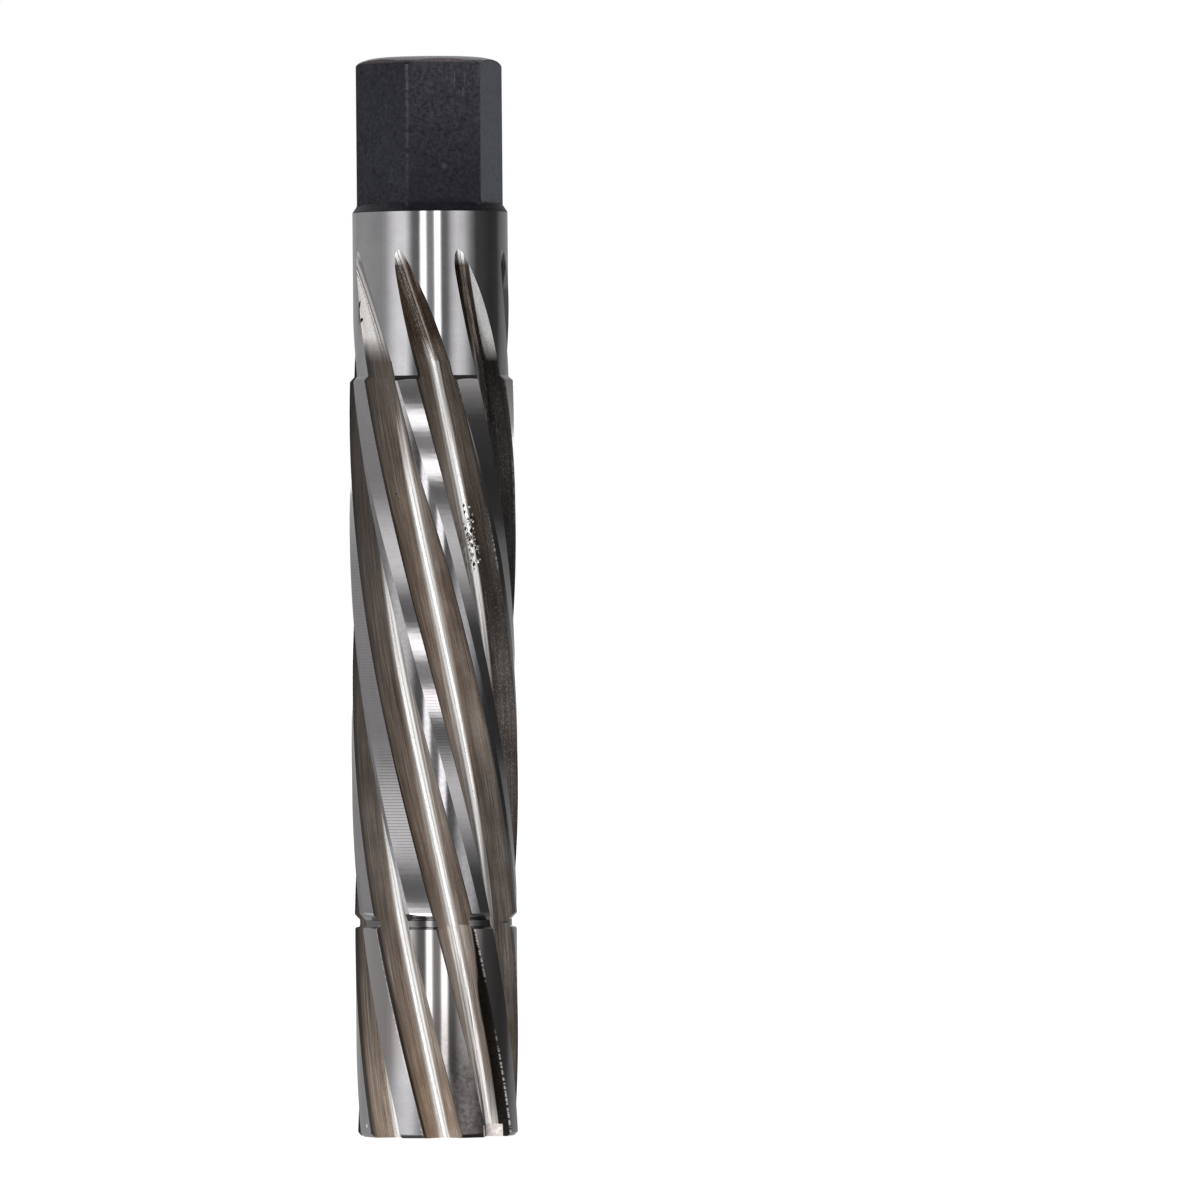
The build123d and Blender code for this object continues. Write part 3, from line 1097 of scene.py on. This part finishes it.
print("setting the camera")
view = {   # in millimetres, with the scale of the picture at the tool's axis
    "distance": 1900, "sensor": 36, "pixels": 1200, "pixelsPerMm": 6.925,
    "footPixel": 1135.4, "axisPixel": 433.33, "roll": atan(0.00872),
}
camera = bpy.data.objects.new("camera", bpy.data.cameras.new("camera"))
bpy.context.scene.collection.objects.link(camera)
camera.data.sensor_fit = "HORIZONTAL"
camera.data.sensor_width = view["sensor"]
camera.data.lens = view["sensor"] * view["distance"] / (view["pixels"] / view["pixelsPerMm"])
camera.data.shift_x = (view["pixels"] / 2 - view["axisPixel"]) / view["pixels"]
aimHeight = (view["footPixel"] - view["pixels"] / 2) / view["pixelsPerMm"]
camera.location = (0, -view["distance"] * millimetre, aimHeight * millimetre)
camera.rotation_euler = (radians(90), view["roll"], 0)
bpy.context.scene.camera = camera

print("setting the floor and the light")
# soft boxes and gaps between them, by angle from the camera's side, positive to its right
studio = {
    "panels": [
        (-180, 1.1), (-174, 1.1), (-170, 0.35), (-150, 0.36), (-138, 0.33), (-115, 0.38),
        (-95, 0.35), (-78, 0.33), (-70, 0.40), (-58, 0.80), (-50, 0.98), (-38, 1.0),
        (-34, 0.76), (-28, 0.31), (-25, 0.18), (-18, 0.16), (-16.0, 0.26), (-14.6, 0.9),
        (-13.5, 2.1), (-7.4, 2.1), (-6.0, 1.1), (-4.5, 0.45), (-2.8, 0.31), (3.2, 0.3),
        (5.0, 0.45), (6.0, 1.0), (7.1, 2.1), (13.7, 2.1), (15.0, 1.0), (16.4, 0.35),
        (18, 0.17), (25, 0.2), (33, 0.66), (40, 0.86), (50, 0.72), (62, 0.27), (72, 0.07),
        (100, 0.04), (116, 0.05), (128, 0.17), (152, 0.25), (168, 0.32), (173, 1.1), (180, 1.1),
    ],
    "over": 0.035, "under": 0.09, "darkFrom": 46, "darkTo": 56,  # by height in degrees
    "strength": 1.22,
}
world = bpy.data.worlds.new("studio")
bpy.context.scene.world = world
world.use_nodes = True
sky = world.node_tree
direction = add("ShaderNodeTexCoord", {}, sky).outputs["Generated"]
parts = add("ShaderNodeSeparateXYZ", {0: direction})
azimuth = calc("ARCTAN2", parts.outputs["X"], times(parts.outputs["Y"], -1.0))
around = slope(azimuth, -pi, pi)
half = len(studio["panels"]) // 2
ramps = []
for panels in (studio["panels"][:half + 1], studio["panels"][half:]):  # a ramp takes 32 stops
    ramp = add("ShaderNodeValToRGB", {0: around})
    fillRamp(ramp, [((angle + 180) / 360, value) for angle, value in panels])
    ramps.append(ramp.outputs[0])
secondHalf = calc("GREATER_THAN", around, (studio["panels"][half][0] + 180) / 360)
bands = blend(secondHalf, *ramps)
steep = slope(calc("ABSOLUTE", parts.outputs["Z"]),
              sin(radians(studio["darkFrom"])), sin(radians(studio["darkTo"])))
overhead = calc("GREATER_THAN", parts.outputs["Z"], 0.0)
ends = blend(overhead, (studio["under"],) * 3, (studio["over"],) * 3)
light = sky.nodes["Background"]
sky.links.new(blend(steep, bands, ends), light.inputs[0])
light.inputs["Strength"].default_value = studio["strength"]
# the camera sees plain white behind the tool
white = add("ShaderNodeBackground", {0: (1, 1, 1, 1)}, sky)
toCamera = add("ShaderNodeLightPath", {}, sky).outputs["Is Camera Ray"]
seen = add("ShaderNodeMixShader", {0: toCamera, 1: light.outputs[0], 2: white.outputs[0]})
sky.links.new(seen.outputs[0], sky.nodes["World Output"].inputs[0])

# a floor of paper, which the camera sees as plain white with the tool's shadow on it
paper = {"metres": 60, "colour": (0.8, 0.8, 0.8, 1), "glow": 0.82}
clearSelection()
bpy.ops.mesh.primitive_plane_add(size=paper["metres"], location=(0, 0, 0))
floor = bpy.context.object
floor.name = "floor"
floorPaper, shader = startMaterial("floorPaper", Roughness=0.9, Base_Color=paper["colour"],
                                   Emission_Color=(1, 1, 1, 1))
toCamera = add("ShaderNodeLightPath", {}, shader.id_data).outputs["Is Camera Ray"]
plug(shader, Emission_Strength=times(toCamera, paper["glow"]))
floor.data.materials.append(floorPaper)
floor.visible_glossy = False  # the dark bevels reflect what is under them

bpy.context.scene.view_settings.view_transform = "Standard"
